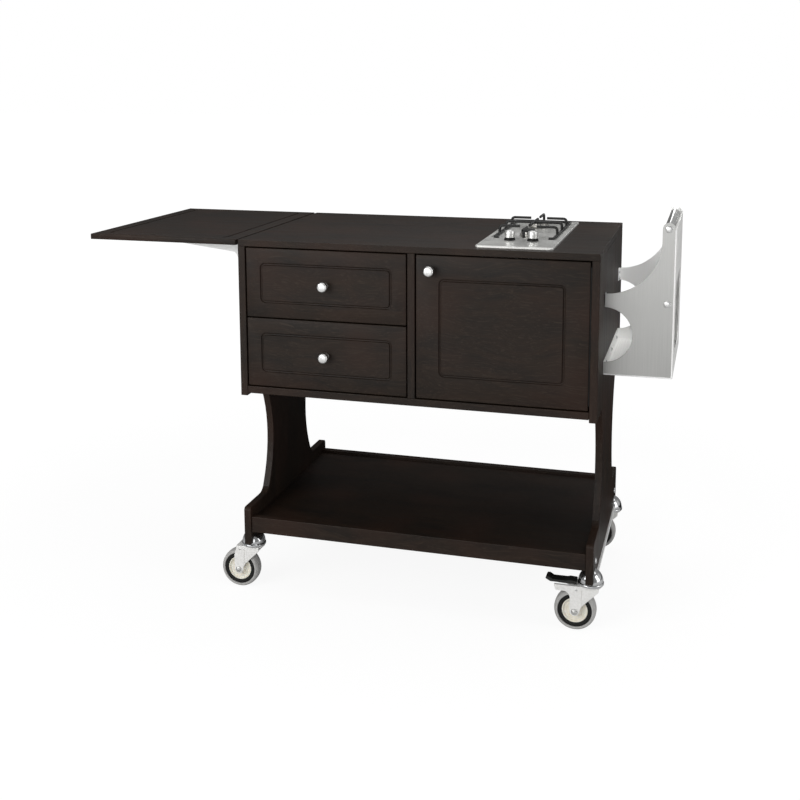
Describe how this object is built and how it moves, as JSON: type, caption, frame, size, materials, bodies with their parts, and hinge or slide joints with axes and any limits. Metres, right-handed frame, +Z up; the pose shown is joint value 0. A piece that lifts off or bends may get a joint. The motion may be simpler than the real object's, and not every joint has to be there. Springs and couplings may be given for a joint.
{
  "type": "flambe trolley",
  "caption": "Dark wooden serving trolley on casters with a built-in gas hob, drawers, cupboard, fold-down leaf, lower shelf and steel bottle rack.",
  "frame": {"origin": "on the floor under the middle of the object's bounding box at rest, leaf up, drawers and door shut", "axes": "+X to the right along the front, from the leaf to the rack; +Y from the front to the back; +Z up"},
  "size_m": [1.446, 0.5853, 0.974],
  "materials": {
    "dark_wood": "dark stained and lacquered beech plywood, satin",
    "drawer_wood": "plain lacquered birch, satin",
    "brushed_steel": "brushed stainless sheet",
    "polished_steel": "polished chrome",
    "zinc_steel": "bright zinc plated pressed steel",
    "white_steel": "light grey powder coat",
    "black_enamel": "black enamel, semi gloss",
    "black_plastic": "moulded black plastic",
    "burner_alloy": "cast aluminium alloy, satin",
    "grey_rubber": "grey non-marking rubber",
    "cream_plastic": "cream moulded polypropylene, satin"
  },
  "bodies": {
    "cabinet": {"worktop": "dark_wood", "end_panel_left": "dark_wood", "end_panel_right": "dark_wood", "cabinet_floor": "dark_wood", "centre_partition": "dark_wood", "back_panel": "dark_wood", "lower_shelf": "dark_wood", "shelf_front_rail": "dark_wood", "shelf_rear_rail": "dark_wood", "rack_cheek_front": "brushed_steel", "rack_cheek_rear": "brushed_steel", "rack_tray": "brushed_steel", "hob_deck": "brushed_steel", "rack_top_rail": "polished_steel", "caster_dome_front_left": "polished_steel", "caster_dome_front_right": "polished_steel", "caster_dome_rear_left": "polished_steel", "caster_dome_rear_right": "polished_steel", "upper_runner_left": "zinc_steel", "upper_runner_right": "zinc_steel", "lower_runner_left": "zinc_steel", "lower_runner_right": "zinc_steel", "bracket_plate_front": "white_steel", "bracket_plate_rear": "white_steel", "door_hinge": "black_enamel", "burner_front": "burner_alloy", "burner_rear": "burner_alloy"},
    "leaf": {"leaf_panel": "dark_wood", "bracket_arm_front": "white_steel", "bracket_arm_rear": "white_steel"},
    "leaf_stays": {"bracket_stay_front": "white_steel", "bracket_stay_rear": "white_steel"},
    "upper_drawer": {"upper_drawer_front": "dark_wood", "upper_drawer_box": "drawer_wood", "upper_drawer_knob": "polished_steel"},
    "lower_drawer": {"lower_drawer_front": "dark_wood", "lower_drawer_box": "drawer_wood", "lower_drawer_knob": "polished_steel"},
    "door": {"door_panel": "dark_wood", "door_knob": "polished_steel"},
    "pan_support_grid": {"pan_support": "black_enamel"},
    "front_burner_cap": {"burner_cap_front": "black_enamel"},
    "rear_burner_cap": {"burner_cap_rear": "black_enamel"},
    "left_valve": {"valve_stem_left": "black_plastic"},
    "right_valve": {"valve_stem_right": "black_plastic"},
    "left_gas_knob": {"hob_knob_left": "polished_steel"},
    "right_gas_knob": {"hob_knob_right": "polished_steel"},
    "brake": {"brake_pedal": "black_plastic"},
    "fork_front_left": {"caster_fork_front_left": "zinc_steel"},
    "wheel_front_left": {"wheel_core_front_left": "cream_plastic", "tyre_front_left": "grey_rubber"},
    "fork_front_right": {"caster_fork_front_right": "zinc_steel"},
    "wheel_front_right": {"wheel_core_front_right": "cream_plastic", "tyre_front_right": "grey_rubber"},
    "fork_rear_left": {"caster_fork_rear_left": "zinc_steel"},
    "wheel_rear_left": {"wheel_core_rear_left": "cream_plastic", "tyre_rear_left": "grey_rubber"},
    "fork_rear_right": {"caster_fork_rear_right": "zinc_steel"},
    "wheel_rear_right": {"wheel_core_rear_right": "cream_plastic", "tyre_rear_right": "grey_rubber"}
  },
  "joints": [
    {"name": "leaf_fold", "type": "hinge", "parent": "cabinet", "child": "leaf", "pos_m": [-0.331, 0, 0.878], "axis": [0, -1, 0], "range_deg": [0, 90]},
    {"name": "stays_fold", "type": "hinge", "parent": "leaf", "child": "leaf_stays", "pos_m": [-0.359, 0, 0.876], "axis": [0, -1, 0], "range_deg": [-119.4, 0]},
    {"name": "upper_drawer_slide", "type": "slide", "parent": "cabinet", "child": "upper_drawer", "axis": [0, -1, 0], "range_m": [0, 0.35]},
    {"name": "lower_drawer_slide", "type": "slide", "parent": "cabinet", "child": "lower_drawer", "axis": [0, -1, 0], "range_m": [0, 0.35]},
    {"name": "door_swing", "type": "hinge", "parent": "cabinet", "child": "door", "pos_m": [0.5435, -0.26575, 0.7195], "axis": [0, 0, 1], "range_deg": [0, 100]},
    {"name": "pan_support_lift", "type": "slide", "parent": "cabinet", "child": "pan_support_grid", "axis": [0, 0, 1], "range_m": [0, 0.12]},
    {"name": "front_cap_lift", "type": "slide", "parent": "cabinet", "child": "front_burner_cap", "axis": [0, 0, 1], "range_m": [0, 0.05]},
    {"name": "rear_cap_lift", "type": "slide", "parent": "cabinet", "child": "rear_burner_cap", "axis": [0, 0, 1], "range_m": [0, 0.05]},
    {"name": "left_knob_push", "type": "slide", "parent": "cabinet", "child": "left_valve", "axis": [0, 0, -1], "range_m": [0, 0.0035], "stiffness_N_per_m": 900},
    {"name": "left_knob_turn", "type": "hinge", "parent": "left_valve", "child": "left_gas_knob", "pos_m": [0.333, -0.1373, 0.9173], "axis": [0, 0, 1], "range_deg": [0, 210]},
    {"name": "right_knob_push", "type": "slide", "parent": "cabinet", "child": "right_valve", "axis": [0, 0, -1], "range_m": [0, 0.0035], "stiffness_N_per_m": 900},
    {"name": "right_knob_turn", "type": "hinge", "parent": "right_valve", "child": "right_gas_knob", "pos_m": [0.389, -0.1373, 0.9173], "axis": [0, 0, 1], "range_deg": [0, 210]},
    {"name": "swivel_front_left", "type": "hinge", "parent": "cabinet", "child": "fork_front_left", "pos_m": [-0.308, -0.2295, 0.1137], "axis": [0, 0, 1], "continuous": true},
    {"name": "roll_front_left", "type": "hinge", "parent": "fork_front_left", "child": "wheel_front_left", "pos_m": [-0.343, -0.2295, 0.05], "axis": [0, 1, 0], "continuous": true},
    {"name": "swivel_front_right", "type": "hinge", "parent": "cabinet", "child": "fork_front_right", "pos_m": [0.554, -0.2295, 0.1137], "axis": [0, 0, 1], "continuous": true},
    {"name": "roll_front_right", "type": "hinge", "parent": "fork_front_right", "child": "wheel_front_right", "pos_m": [0.519, -0.2295, 0.05], "axis": [0, 1, 0], "continuous": true},
    {"name": "swivel_rear_left", "type": "hinge", "parent": "cabinet", "child": "fork_rear_left", "pos_m": [-0.308, 0.2545, 0.1137], "axis": [0, 0, 1], "continuous": true},
    {"name": "roll_rear_left", "type": "hinge", "parent": "fork_rear_left", "child": "wheel_rear_left", "pos_m": [-0.343, 0.2545, 0.05], "axis": [0, 1, 0], "continuous": true},
    {"name": "swivel_rear_right", "type": "hinge", "parent": "cabinet", "child": "fork_rear_right", "pos_m": [0.554, 0.2545, 0.1137], "axis": [0, 0, 1], "continuous": true},
    {"name": "roll_rear_right", "type": "hinge", "parent": "fork_rear_right", "child": "wheel_rear_right", "pos_m": [0.519, 0.2545, 0.05], "axis": [0, 1, 0], "continuous": true},
    {"name": "brake_press", "type": "hinge", "parent": "fork_front_right", "child": "brake", "pos_m": [0.5218, -0.2295, 0.1194], "axis": [0, -1, 0], "range_deg": [0, 5]}
  ],
  "couplings": [
    {"joint": "stays_fold", "follows": "leaf_fold", "ratio": -1.3255}
  ]
}
